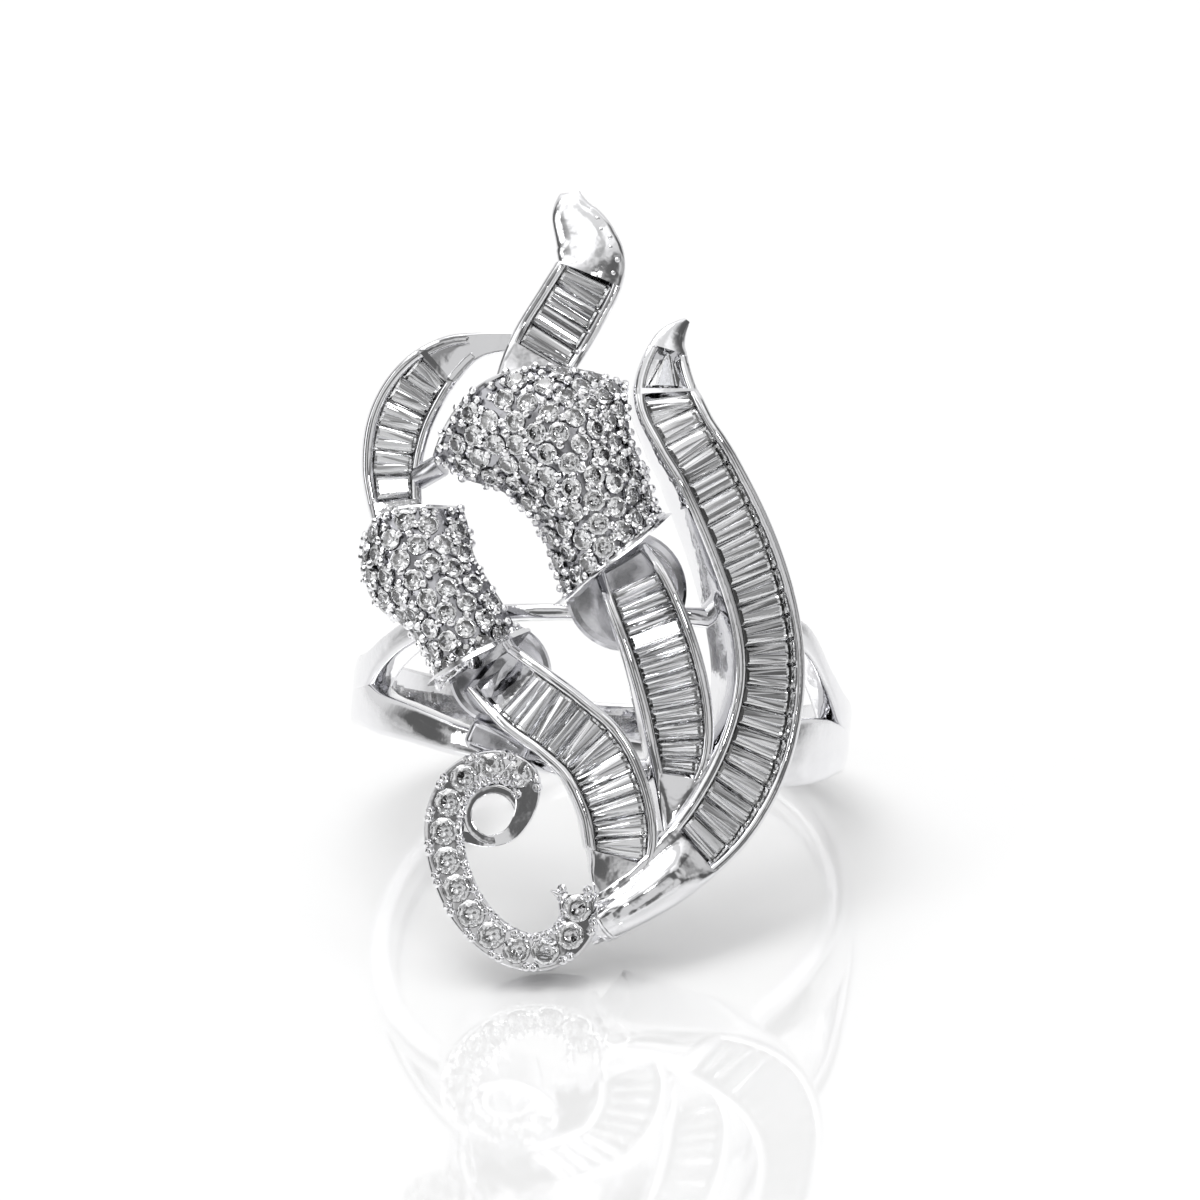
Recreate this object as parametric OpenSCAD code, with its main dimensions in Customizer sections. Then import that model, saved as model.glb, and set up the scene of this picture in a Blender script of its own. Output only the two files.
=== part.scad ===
// Cocktail ring in polished white metal with clear stones: channel set ribbons, two pave bells,
// two leaves and a pave scroll on a split shank. Millimetres, +Z up, resting on a flat surface.
// The forms are drawn in the finger frame: x to the right, z along the finger, depth towards the viewer.

/* [Ring size] */
// Inner radius of the finger hole
finger_r = 8.65; // [7.8:0.05:9.4]
// Thickness of the band, from the finger out
band_t = 1.1; // [0.9:0.05:1.4]

/* [Rest] */
// How far the ring leans back on the surface, degrees
lean_back = 25.11; // [0:0.01:40]
// How far it rolls to its right, degrees
roll = 7.68; // [-10:0.01:10]
// Height of the finger hole's centre over the surface
lift = 4.836; // [0:0.001:12]
// Shift of the ring to the right, which centres its box
shift_x = -0.008; // [-5:0.001:5]
// Shift of the ring backwards, which centres its box
shift_y = 2.985; // [-8:0.001:8]

/* [Channels] */
// Width of the rail on each side of a channel
rail_t = 0.42; // [0.3:0.01:0.5]
// Depth of the groove that holds the stones
groove = 0.8; // [0.7:0.05:0.9]
// Clearance round each stone
stone_gap = 0.055; // [0.03:0.005:0.06]

/* [Stones] */
// Stones in the long spray
spray_count = 22; // [18:1:22]
// Stones in the middle stem
middle_count = 12; // [10:1:12]
// Stones in the left stem
left_count = 11; // [9:1:11]
// Diameter of the small round stones on the bells
pave_d = 0.86; // [0.7:0.01:0.88]
// Distance between neighbouring stones on the bells
pave_pitch = 1.0; // [0.98:0.01:1.1]
// Diameter of the round stones on the scroll
scroll_stone_d = 0.96; // [0.9:0.01:1]

/* [Bells] */
// Thickness of the bells' wall
bell_t = 0.85; // [0.7:0.05:1]

/* [Hidden] */
band_r = finger_r + band_t;
// How far castings reach into the finger hole before it is cut
overcut = 0.2;
// How far a groove runs past its stones, in rows
end_gap = 0.06;
sides = 10;
seat_sides = 6;

// Shank, a row for each section: [angle from the front, upper z, upper half height, lower z, lower half height]
shank = [
    [-180, 0.15, 0.55, -0.15, 0.55],
    [-130, 0.28, 0.80, -0.28, 0.80],
    [ -95, 0.42, 0.95, -0.42, 0.95],
    [ -76, 0.55, 0.90, -0.52, 0.92],
    [ -64, 1.42, 0.62, -0.95, 0.80],
    [ -50, 2.35, 0.52, -1.28, 0.72],
    [ -28, 3.10, 0.34, -1.95, 0.58],
    [   0, 3.50, 0.32, -2.45, 0.45],
    [  28, 3.70, 0.40, -1.95, 0.60],
    [  50, 3.50, 0.55, -1.10, 1.25],
    [  64, 1.95, 0.48, -0.80, 1.25],
    [  77, 0.85, 0.70, -0.62, 1.00],
    [  95, 0.42, 0.95, -0.42, 0.95],
    [ 130, 0.28, 0.80, -0.28, 0.80],
    [ 180, 0.15, 0.55, -0.15, 0.55]
];

// Channel ribbons, a row for each section: [x, z, depth, half width, lean, body depth]
long_spray = [
    [ 1.85, 14.85,  9.5, 0.14, 10, 0.5],
    [ 1.30, 13.80, 10.1, 0.72, 12, 0.9, 0.3],
    [ 1.36, 11.95, 10.8, 1.28, 15, 1.4],
    [ 2.12, 10.53, 11.1, 1.32, 20, 1.9],
    [ 3.28,  8.98, 11.1, 1.38, 24, 2.2],
    [ 4.83,  6.35, 10.6, 1.48, 26, 2.4],
    [ 5.94,  3.69, 10.1, 1.50, 28, 2.5],
    [ 6.33,  1.20,  9.9, 1.50, 26, 2.5],
    [ 5.96, -1.48, 10.1, 1.54, 24, 2.5],
    [ 4.90, -3.95, 10.7, 1.45, 20, 2.3],
    [ 3.40, -5.90, 11.3, 1.20, 14, 2.4],
    [ 2.27, -6.98, 11.6, 1.03,  8, 2.7],
    [ 1.10, -7.85, 11.8, 0.90,  4, 2.9],
    [ 0.10, -8.45, 11.8, 0.84,  4, 2.9]
];
middle_stem = [
    [ 0.15,  5.60, 10.7, 1.15,  4, 1.5],
    [ 1.00,  4.30, 11.1, 1.38,  6, 1.9],
    [ 2.05,  2.20, 11.2, 1.44,  8, 2.0],
    [ 2.75,  0.35, 11.0, 1.42, 10, 2.0],
    [ 3.10, -1.20, 10.8, 1.30, 10, 2.0],
    [ 3.15, -2.50, 10.8, 0.98, 10, 2.0],
    [ 2.95, -4.60, 11.0, 0.20, 10, 1.8]
];
left_stem = [
    [-4.50,  1.05, 10.4, 1.25, -14, 1.4],
    [-2.90, -0.15, 11.2, 1.46,  -8, 1.9],
    [-1.46, -1.02, 11.6, 1.45,   0, 2.2],
    [-0.06, -2.12, 11.8, 1.48,   6, 2.3],
    [ 0.92, -3.85, 11.8, 1.44,   8, 2.2],
    [ 1.25, -5.50, 11.7, 1.35,   8, 2.1],
    [ 0.95, -6.60, 11.7, 0.85,   6, 2.0],
    [ 0.75, -7.40, 11.6, 0.30,   4, 1.8]
];
upper_leaf = [
    [-3.05, 19.25,  9.4, 0.20,  0, 0.5],
    [-2.85, 18.50,  9.7, 0.86,  2, 0.8],
    [-2.25, 17.45, 10.0, 1.20,  4, 1.1],
    [-1.96, 16.40, 10.2, 1.33,  6, 1.3],
    [-2.50, 15.00, 10.3, 1.40,  6, 1.3],
    [-3.25, 13.45, 10.4, 1.42,  4, 1.3],
    [-3.80, 12.20, 10.8, 1.30,  0, 1.3],
    [-4.15, 11.30, 11.2, 1.10,  0, 1.2]
];
left_leaf = [
    [-8.40,  6.40,  9.5, 1.00,  8, 1.2],
    [-8.75,  8.20,  9.4, 1.16, 10, 1.3],
    [-8.60, 10.00,  9.5, 1.24, 10, 1.3],
    [-7.95, 11.50,  9.7, 1.14,  6, 1.3],
    [-6.95, 12.60,  9.8, 0.84,  2, 1.2],
    [-5.90, 13.15,  9.9, 0.48,  0, 1.0],
    [-4.60, 13.40, 10.0, 0.34,  0, 0.9]
];
scroll = [
    [-4.75, -5.50, 11.3, 0.20, 0, 1.5],
    [-3.85, -5.62, 11.3, 0.22, 0, 1.5],
    [-2.95, -5.22, 11.4, 0.28, 0, 1.6],
    [-2.50, -4.20, 11.4, 0.42, 0, 1.7],
    [-2.66, -3.20, 11.4, 0.62, 0, 1.7],
    [-3.50, -2.78, 11.3, 0.66, 0, 1.7],
    [-4.50, -3.02, 11.2, 0.68, 0, 1.7],
    [-5.25, -3.80, 11.2, 0.72, 0, 1.7],
    [-5.50, -5.10, 11.3, 0.76, 0, 1.7],
    [-5.20, -6.60, 11.4, 0.76, 0, 1.6],
    [-4.40, -8.10, 11.5, 0.76, 0, 1.5],
    [-3.20, -9.20, 11.6, 0.74, 0, 1.5],
    [-1.90, -9.62, 11.7, 0.74, 0, 1.6],
    [-0.75, -9.25, 11.8, 0.76, 0, 1.9],
    [-0.15, -8.35, 11.8, 0.76, 0, 2.3],
    [-0.35, -7.45, 11.8, 0.55, 0, 2.3]
];

// Bells, a row for each section from the mouth up:
// [left x, left z, left depth, right x, right z, right depth, bow along the bell, bulge to the front]
upper_bell = [
    [-1.75, 3.75, 10.3,  1.42,  7.35, 10.2, -0.1, 2.7],
    [-2.42, 5.20, 10.5,  0.80,  8.90, 10.4,  0.2, 2.7],
    [-3.20, 6.60, 10.7,  0.15, 10.20, 10.6,  0.5, 2.6],
    [-4.50, 7.60, 10.7, -0.05, 11.20, 10.7,  1.0, 2.4],
    [-6.10, 8.00, 10.4, -0.15, 11.80, 10.5,  1.5, 2.2],
    [-7.25, 8.75,  9.9, -0.30, 12.20, 10.1,  1.9, 2.0]
];
left_bell = [
    [-6.15, 0.10,  9.0, -3.35, 2.30, 10.1,  0.0, 2.2],
    [-6.70, 1.25,  8.8, -3.95, 3.25, 10.1,  0.1, 2.1],
    [-7.60, 2.25,  8.5, -4.70, 4.25, 10.0,  0.2, 2.0],
    [-8.80, 3.00,  8.2, -5.35, 5.20,  9.8,  0.4, 1.8],
    [-9.50, 4.20,  7.9, -5.65, 6.20,  9.6,  0.6, 1.7],
    [-9.45, 5.45,  7.7, -5.95, 6.95,  9.5,  0.8, 1.6]
];

// Stone rows, in sections of their ribbon: [first, last]
spray_run = [2.06, 9.52];
middle_run = [0.75, 4.92];
left_run = [0.75, 5.15];
upper_leaf_run = [2.95, 5.35];
left_leaf_run = [0.45, 3.4];
scroll_run = [3.75, 14.75];
// Part of the long spray that is hollowed from behind
spray_hollow = [3.1, 8.9];
// Bare recess in the long spray's tip
tip_run = [1.15, 1.9];
tip_groove = 0.45;
upper_leaf_count = 4;
left_leaf_count = 6;
scroll_count = 13;
// Half the angle that a bell's wall turns through
bell_turn = 64;
bell_across = 6;
bell_rows = 6;

// Cups that close the bells behind their stems: [x, z, depth of the rim, radius, height]
upper_cup = [0.50, 4.35, 10.35, 2.30, 1.5];
left_cup = [-3.95, 0.80, 9.90, 1.95, 1.3];

// Posts and walls behind the head: [x, z, depth], from and to
leaf_post = [[-7.80, 7.90, 9.0], [-6.90, 8.50, 9.5]];
bell_post = [[-6.60, 2.55, 6.8], [-7.10, 2.70, 8.9]];
// Gallery wall over the scroll: [x, z] from and to, half thickness, lowest and highest depth
gallery = [[-5.60, -1.35], [-2.60, -2.25], 0.55, 7.6, 10.6];
// Flat foot under the scroll, in the same columns
foot = [[-2.30, -9.98], [-0.75, -9.83], 0.40, 10.1, 11.6];

function unit(v) = v / norm(v);
function flat(rows) = [for (row = rows) for (item = row) item];
function pick(rows, i) = rows[max(0, min(len(rows) - 1, i))];

// A smooth value between the rows of a table, where t counts in rows
function smooth(rows, t) =
    let (
        i = max(0, min(len(rows) - 2, floor(t))),
        f = t - i,
        a = pick(rows, i - 1),
        b = pick(rows, i),
        c = pick(rows, i + 1),
        d = pick(rows, i + 2)
    )
    0.5 * (2 * b + (c - a) * f + (2 * a - 5 * b + 4 * c - d) * f * f + (3 * b - a - 3 * c + d) * f * f * f);

// Centre, side, way and face of a ribbon's section
function centre(rows, t) = let (r = smooth(rows, t)) [r[0], -r[2], r[1]];
function way(rows, t) = unit(centre(rows, t + 0.01) - centre(rows, t - 0.01));
function face(rows, t) =
    let (lean = smooth(rows, t)[4], out = [sin(lean), -cos(lean), 0], along = way(rows, t))
    unit(out - (out * along) * along);
function side(rows, t) = cross(way(rows, t), face(rows, t));
function place(rows, t, s, n) = centre(rows, t) + s * side(rows, t) + n * face(rows, t);

// Points of a ribbon's section, with soft edges
function ribbon_section(rows, t) =
    let (r = smooth(rows, t), w = max(0.12, r[3]), low = r[5], soft = min(0.12, w / 3))
    [for (p = [
        [-w * 0.88, -low], [w * 0.88, -low], [w, -soft], [w - soft, 0], [-w + soft, 0], [-w, -soft]
    ]) place(rows, t, p[0], p[1])];

// Points of the groove's section between its rails
function groove_section(rows, t, deep) =
    let (w = smooth(rows, t)[3] - rail_t)
    [for (p = [[-w, -deep], [w, -deep], [w, 1], [-w, 1]]) place(rows, t, p[0], p[1])];

// A solid through a row of sections, which closes on itself where closed is true
module sweep(rings, closed = false) {
    n = len(rings);
    m = len(rings[0]);
    last = closed ? n - 1 : n - 2;
    walls = [for (i = [0:last]) for (j = [0:m - 1])
        let (a = i * m + j, b = i * m + (j + 1) % m, c = ((i + 1) % n) * m + (j + 1) % m, d = ((i + 1) % n) * m + j)
        each [[a, b, c], [a, c, d]]];
    ends = closed ? [] : [[for (j = [m - 1:-1:0]) j], [for (j = [0:m - 1]) (n - 1) * m + j]];
    polyhedron(points = flat(rings), faces = concat(walls, ends), convexity = 8);
}

module ribbon(rows, parts = 2) {
    n = (len(rows) - 1) * parts;
    sweep([for (i = [0:n]) ribbon_section(rows, i / parts)]);
}

// Points of the hollow behind the groove's floor
function hollow_section(rows, t) =
    let (w = smooth(rows, t)[3] - rail_t, low = smooth(rows, t)[5] + 1, high = groove + 0.45)
    [for (p = [[-w, -low], [w, -low], [w, -high], [-w, -high]]) place(rows, t, p[0], p[1])];

module groove_cut(rows, run, deep = groove) {
    n = max(2, ceil((run[1] - run[0]) * 3));
    long_run = [run[0] - end_gap, run[1] + end_gap];
    sweep([for (i = [0:n]) groove_section(rows, border(long_run, n, i), deep)]);
}

module hollow_cut(rows, run) {
    n = ceil((run[1] - run[0]) * 2);
    sweep([for (i = [0:n]) hollow_section(rows, border(run, n, i))]);
}

// A straight bar between two points, given as x, z and depth
module bar(from, to, r) {
    a = [from[0], -from[2], from[1]];
    b = [to[0], -to[2], to[1]];
    along = unit(b - a);
    u = unit(cross(along, abs(along[2]) > 0.9 ? [1, 0, 0] : [0, 0, 1]));
    v = cross(along, u);
    sweep([for (p = [a, b]) [for (k = [7:-1:0]) p + r * (cos(45 * k) * u + sin(45 * k) * v)]]);
}

// A round cup that narrows away from the viewer
module cup(c) {
    sweep([for (k = [[1, 0], [0.94, 0.35], [0.72, 0.75], [0.35, 1]])
        [for (i = [0:11])
            [c[0] + c[3] * k[0] * cos(30 * i), -c[2] + c[4] * k[1], c[1] + c[3] * k[0] * sin(30 * i)]]]);
}

// A flat wall along a line, from one depth to another
module wall(w) {
    along = unit([w[1][0] - w[0][0], 0, w[1][1] - w[0][1]]);
    off = w[2] * cross(along, [0, 1, 0]);
    sweep([for (p = [w[0], w[1]])
        let (a = [p[0], -w[3], p[1]], b = [p[0], -w[4], p[1]])
        [a + off, a - off, b - off, b + off]]);
}

// Shank
function shank_section(angle, z, h) =
    let (inner = finger_r - overcut)
    [for (p = [
        [inner, -h], [band_r - 0.4, -h], [band_r - 0.07, -0.6 * h], [band_r, 0],
        [band_r - 0.07, 0.6 * h], [band_r - 0.4, h], [inner, h]
    ]) [p[0] * sin(angle), -p[0] * cos(angle), z + p[1]]];

module shank_loop(col) {
    parts = 3;
    n = (len(shank) - 1) * parts;
    sweep([for (i = [0:n - 1])
        let (r = smooth(shank, i / parts))
        shank_section(r[0], r[col], r[col + 1])], closed = true);
}

// Surface of a bell: t counts in rows, u runs from its left edge to its right edge
function bell_point(rows, t, u) =
    let (
        r = smooth(rows, t),
        low = smooth(rows, 0),
        top = smooth(rows, len(rows) - 1),
        left = [r[0], -r[2], r[1]],
        right = [r[3], -r[5], r[4]],
        along = unit([top[0] + top[3] - low[0] - low[3], 0, top[1] + top[4] - low[1] - low[4]]),
        across = unit(right - left),
        out = unit(cross(across, along)),
        turn = bell_turn * (2 * u - 1),
        rise = (cos(turn) - cos(bell_turn)) / (1 - cos(bell_turn)),
        part = 0.5 + 0.5 * sin(turn) / sin(bell_turn)
    )
    left + part * (right - left) + r[7] * rise * out + r[6] * 4 * part * (1 - part) * along;
function bell_across_way(rows, t, u) = unit(bell_point(rows, t, u + 0.01) - bell_point(rows, t, u - 0.01));
function bell_up_way(rows, t, u) = unit(bell_point(rows, t + 0.02, u) - bell_point(rows, t - 0.02, u));
function bell_normal(rows, t, u) = unit(cross(bell_across_way(rows, t, u), bell_up_way(rows, t, u)));

module bell_wall(rows) {
    m = bell_across;
    rings = [for (i = [0:bell_rows])
        let (t = i * (len(rows) - 1) / bell_rows)
        concat(
            [for (j = [0:m]) bell_point(rows, t, j / m)],
            [for (j = [m:-1:0]) bell_point(rows, t, j / m) - bell_t * bell_normal(rows, t, j / m)])];
    k = 2 * m + 2;
    walls = [for (i = [0:bell_rows - 1]) for (j = [0:k - 1])
        let (a = i * k + j, b = i * k + (j + 1) % k, c = (i + 1) * k + (j + 1) % k, d = (i + 1) * k + j)
        each [[a, c, b], [a, d, c]]];
    ends = [for (i = [0, bell_rows]) for (j = [0:m - 1])
        let (o = i * k, a = o + j, b = o + j + 1, c = o + k - 2 - j, d = o + k - 1 - j)
        each (i == 0 ? [[a, b, c], [a, c, d]] : [[a, c, b], [a, d, c]])];
    polyhedron(points = flat(rings), faces = concat(walls, ends), convexity = 6);
}

// Keeps each candidate place that stands clear of those kept before it
function keep_clear(places, i = 0, kept = []) =
    i == len(places) ? kept :
    let (clear = min([pave_d * 9, for (k = kept) norm(k[0] - places[i][0])]) >= pave_pitch)
    keep_clear(places, i + 1, clear ? concat(kept, [places[i]]) : kept);

// Places of the round stones on a bell: [point, row, share across]
function bell_places(rows) =
    let (last = len(rows) - 1, fine = 30)
    keep_clear([for (i = [0:fine]) for (j = [0:fine])
        let (t = 0.32 + (last - 0.64) * i / fine, u = 0.07 + 0.86 * j / fine)
        [bell_point(rows, t, u), t, u]]);

// The same places as frames: [point, way across, way up, normal]
function bell_stones(rows) =
    [for (p = bell_places(rows))
        [p[0], bell_across_way(rows, p[1], p[2]), bell_up_way(rows, p[1], p[2]), bell_normal(rows, p[1], p[2])]];

// A faceted top, girdle and point below, round a place given as [point, way across, way up, normal]
module pointed(at, m, r, top_r, top_h, deep, turn = 0) {
    u = at[1];
    n = at[3];
    v = cross(n, u);
    function ring(radius, h) = [for (k = [0:m - 1])
        at[0] + radius * (cos(360 * k / m + turn) * u + sin(360 * k / m + turn) * v) + h * n];
    points = concat(ring(top_r, top_h), ring(r, 0), [at[0] - deep * n]);
    faces = concat(
        [[for (k = [m - 1:-1:0]) k]],
        [for (k = [0:m - 1]) let (l = (k + 1) % m) [k, l, m + l, m + k]],
        [for (k = [0:m - 1]) let (l = (k + 1) % m) [m + k, m + l, 2 * m]]);
    polyhedron(points = points, faces = faces);
}

// Round brilliant with a table, a crown of ten facets and a pavilion
module brilliant(at, d) {
    pointed(at, sides, d / 2, 0.28 * d, 0.15 * d, 0.42 * d);
}

// The seat that is drilled for it
module seat(at, d) {
    r = (d / 2 + stone_gap) / cos(180 / seat_sides);
    pointed(at, seat_sides, r, r, 0.6, 0.5 * d, 15);
}

// Baguette between two borders of its channel: table, step crown, girdle and keel
module baguette(rows, from, to) {
    t = (from + to) / 2;
    half = smooth(rows, t)[3] - rail_t - 2 * stone_gap;
    c = place(rows, t, 0, 0);
    s = side(rows, t);
    w = way(rows, t);
    n = face(rows, t);
    wide = [for (e = [-half, half]) norm(place(rows, to, e, 0) - place(rows, from, e, 0)) / 2 - 1.3 * stone_gap];
    mid = (wide[0] + wide[1]) / 2;
    taper = (wide[1] - wide[0]) / (2 * half);
    function corners(ins, h) = [for (q = [[-1, -1], [1, -1], [1, 1], [-1, 1]])
        let (e = q[0] * (half - ins))
        c + e * s + q[1] * (mid + taper * e - ins) * w + h * n];
    points = concat(
        corners(0.15, -0.03), corners(0, -0.16), corners(0, -0.24),
        [c - (half - 0.28) * s - 0.69 * n, c + (half - 0.28) * s - 0.69 * n]);
    walls = [for (ring = [0, 4]) for (k = [0:3])
        let (a = ring + k, b = ring + (k + 1) % 4)
        each [[a, b, b + 4], [a, b + 4, a + 4]]];
    faces = concat(
        [[3, 2, 1, 0]], walls,
        [[8, 9, 13], [8, 13, 12], [9, 10, 13], [10, 11, 12], [10, 12, 13], [11, 8, 12]]);
    polyhedron(points = points, faces = faces);
}

function border(run, count, i) = run[0] + (run[1] - run[0]) * i / count;

// Share of a ribbon's rows at an even distance along it
function even(rows, run, share) =
    let (
        steps = 60,
        way_along = [for (i = 0, s = 0; i <= steps;
            s = s + norm(centre(rows, border(run, steps, i + 1)) - centre(rows, border(run, steps, i))),
            i = i + 1) [s, border(run, steps, i)]],
        whole = way_along[steps][0]
    )
    lookup(share * whole, way_along);

module channel_stone(rows, run, count, i) {
    color("white") baguette(rows, even(rows, run, (i - 1) / count), even(rows, run, i / count));
}

module stone_row(rows, run, count) {
    for (i = [1:count]) channel_stone(rows, run, count, i);
}

function scroll_places() =
    [for (i = [0:scroll_count - 1])
        let (t = even(scroll, scroll_run, (i + 0.5) / scroll_count))
        [place(scroll, t, 0, 0), side(scroll, t), way(scroll, t), face(scroll, t)]];

module ring_metal() {
    color("gainsboro")
    difference() {
        resize([0, 0, 0]) difference() {
            union() {
                shank_loop(1);
                shank_loop(3);
                difference() {
                    ribbon(long_spray);
                    hollow_cut(long_spray, spray_hollow);
                }
                ribbon(middle_stem);
                ribbon(left_stem);
                ribbon(upper_leaf);
                ribbon(left_leaf);
                ribbon(scroll);
                bell_wall(upper_bell);
                bell_wall(left_bell);
                cup(upper_cup);
                cup(left_cup);
                bar(leaf_post[0], leaf_post[1], 0.45);
                bar(bell_post[0], bell_post[1], 0.6);
                wall(gallery);
                wall(foot);
            }
            groove_cut(long_spray, spray_run);
            groove_cut(long_spray, tip_run, tip_groove);
            groove_cut(middle_stem, middle_run);
            groove_cut(left_stem, left_run);
            groove_cut(upper_leaf, upper_leaf_run);
            groove_cut(left_leaf, left_leaf_run);
            for (p = bell_stones(upper_bell)) seat(p, pave_d);
            for (p = bell_stones(left_bell)) seat(p, pave_d);
            for (p = scroll_places()) seat(p, scroll_stone_d);
        }
        cylinder(r = finger_r, h = 60, center = true, $fn = 96);
    }
}

module upper_bell_stones() {
    color("white") for (p = bell_stones(upper_bell)) brilliant(p, pave_d);
}

module left_bell_stones() {
    color("white") for (p = bell_stones(left_bell)) brilliant(p, pave_d);
}

module scroll_stones() {
    color("white") for (p = scroll_places()) brilliant(p, scroll_stone_d);
}

module resting() {
    translate([shift_x, shift_y, lift]) rotate([-lean_back, roll, 0]) children();
}

resting() ring_metal();
resting() upper_bell_stones();
resting() left_bell_stones();
resting() scroll_stones();
resting() stone_row(upper_leaf, upper_leaf_run, upper_leaf_count);  // upper_leaf_stones
resting() stone_row(left_leaf, left_leaf_run, left_leaf_count);  // left_leaf_stones
for (i = [1:spray_count])
    resting() channel_stone(long_spray, spray_run, spray_count, i);
for (i = [1:middle_count])
    resting() channel_stone(middle_stem, middle_run, middle_count, i);
for (i = [1:left_count])
    resting() channel_stone(left_stem, left_run, left_count, i);
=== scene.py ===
from math import atan, cos, floor, pi, radians, sin
import bmesh
import bpy
from mathutils import Matrix, Vector


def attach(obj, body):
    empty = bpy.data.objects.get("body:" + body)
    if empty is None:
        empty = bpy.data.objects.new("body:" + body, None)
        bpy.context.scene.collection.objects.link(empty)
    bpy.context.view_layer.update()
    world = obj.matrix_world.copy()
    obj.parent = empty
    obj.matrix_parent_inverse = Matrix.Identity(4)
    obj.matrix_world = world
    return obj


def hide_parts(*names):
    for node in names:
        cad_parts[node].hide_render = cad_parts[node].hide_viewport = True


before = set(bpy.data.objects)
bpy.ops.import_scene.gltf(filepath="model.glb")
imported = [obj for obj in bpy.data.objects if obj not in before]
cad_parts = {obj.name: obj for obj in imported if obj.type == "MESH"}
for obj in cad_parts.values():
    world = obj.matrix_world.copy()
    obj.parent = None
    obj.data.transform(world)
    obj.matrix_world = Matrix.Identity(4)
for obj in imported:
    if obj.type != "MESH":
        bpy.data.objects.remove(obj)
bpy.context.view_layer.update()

# Sizes in millimetres, in the finger frame: x to the right, z along the finger, y away from the viewer
mm = 0.001
finger_r = 8.65
band_t = 1.1
band_r = finger_r + band_t
rail_t = 0.42
groove = 0.8
bell_turn = 64
bell_t = 0.62
pave_d = 0.84
pave_pitch = 0.885
scroll_stone_d = 1.08
bead_r = 0.18
scroll_bead_r = 0.2
seat_gap = 0.012
stone_gap = 0.012
tuck_under_rail = 0.03
open_back = 0.03
bell_columns = 30
bead_clear = 0.47
bead_pitch = 0.39

# How the ring rests
lean_back = radians(25.11)
roll = radians(7.68)
place_of_hole = Vector((-0.008, 2.985, 4.836))
turn_to_rest = Matrix.Rotation(roll, 4, "Y") @ Matrix.Rotation(-lean_back, 4, "X")
to_row = Matrix.Scale(mm, 4) @ Matrix.Translation(place_of_hole) @ turn_to_rest

# Shank: angle from the front, upper z, upper half height, lower z, lower half height
shank = [
    [-180, 0.15, 0.55, -0.15, 0.55],
    [-130, 0.28, 0.80, -0.28, 0.80],
    [-95, 0.42, 0.95, -0.42, 0.95],
    [-76, 0.55, 0.90, -0.52, 0.92],
    [-64, 1.42, 0.62, -0.95, 0.80],
    [-50, 2.35, 0.52, -1.28, 0.72],
    [-28, 3.10, 0.34, -1.95, 0.58],
    [0, 3.50, 0.32, -2.45, 0.45],
    [28, 3.70, 0.40, -1.95, 0.60],
    [50, 3.50, 0.55, -1.10, 1.25],
    [64, 1.95, 0.48, -0.80, 1.25],
    [77, 0.85, 0.70, -0.62, 1.00],
    [95, 0.42, 0.95, -0.42, 0.95],
    [130, 0.28, 0.80, -0.28, 0.80],
    [180, 0.15, 0.55, -0.15, 0.55],
]

# Channel ribbons: x, z, depth, half width, lean, body depth
long_spray = [
    [1.85, 14.85, 9.5, 0.14, 10, 0.5],
    [1.30, 13.80, 10.1, 0.72, 12, 0.9],
    [1.36, 11.95, 10.8, 1.28, 15, 1.4],
    [2.12, 10.53, 11.1, 1.32, 20, 1.9],
    [3.28, 8.98, 11.1, 1.38, 24, 2.2],
    [4.83, 6.35, 10.6, 1.48, 26, 2.4],
    [5.94, 3.69, 10.1, 1.50, 28, 2.5],
    [6.33, 1.20, 9.9, 1.50, 26, 2.5],
    [5.96, -1.48, 10.1, 1.54, 24, 2.5],
    [4.90, -3.95, 10.7, 1.45, 20, 2.3],
    [3.40, -5.90, 11.3, 1.20, 14, 2.4],
    [2.27, -6.98, 11.6, 1.03, 8, 2.7],
    [1.10, -7.85, 11.8, 0.90, 4, 2.9],
    [0.10, -8.45, 11.1, 0.84, 4, 2.2],
]
middle_stem = [
    [0.15, 5.60, 10.7, 1.15, 4, 1.5],
    [1.00, 4.30, 11.1, 1.38, 6, 1.9],
    [2.05, 2.20, 11.2, 1.44, 8, 2.0],
    [2.75, 0.35, 11.0, 1.42, 10, 2.0],
    [3.10, -1.20, 10.8, 1.30, 10, 2.0],
    [3.15, -2.50, 10.8, 0.98, 10, 2.0],
    [2.95, -4.60, 11.0, 0.20, 10, 1.8],
]
left_stem = [
    [-4.50, 1.05, 10.4, 1.25, -14, 1.4],
    [-2.90, -0.15, 11.2, 1.46, -8, 1.9],
    [-1.46, -1.02, 11.6, 1.45, 0, 2.2],
    [-0.06, -2.12, 11.8, 1.48, 6, 2.3],
    [0.92, -3.85, 11.8, 1.44, 8, 2.2],
    [1.25, -5.50, 11.7, 1.35, 8, 2.1],
    [0.95, -6.60, 11.7, 0.85, 6, 2.0],
    [0.75, -7.40, 11.6, 0.30, 4, 1.8],
]
upper_leaf = [
    [-3.05, 19.28, 9.4, 0.40, 0, 0.5],
    [-2.85, 18.50, 9.7, 0.86, 2, 0.8],
    [-2.25, 17.45, 10.0, 1.20, 4, 1.1],
    [-1.96, 16.40, 10.2, 1.33, 6, 1.3],
    [-2.50, 15.00, 10.3, 1.40, 6, 1.3],
    [-3.25, 13.45, 10.4, 1.42, 4, 1.3],
    [-3.80, 12.20, 10.8, 1.30, 0, 1.3],
    [-4.15, 11.30, 11.2, 1.10, 0, 1.2],
]
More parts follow.
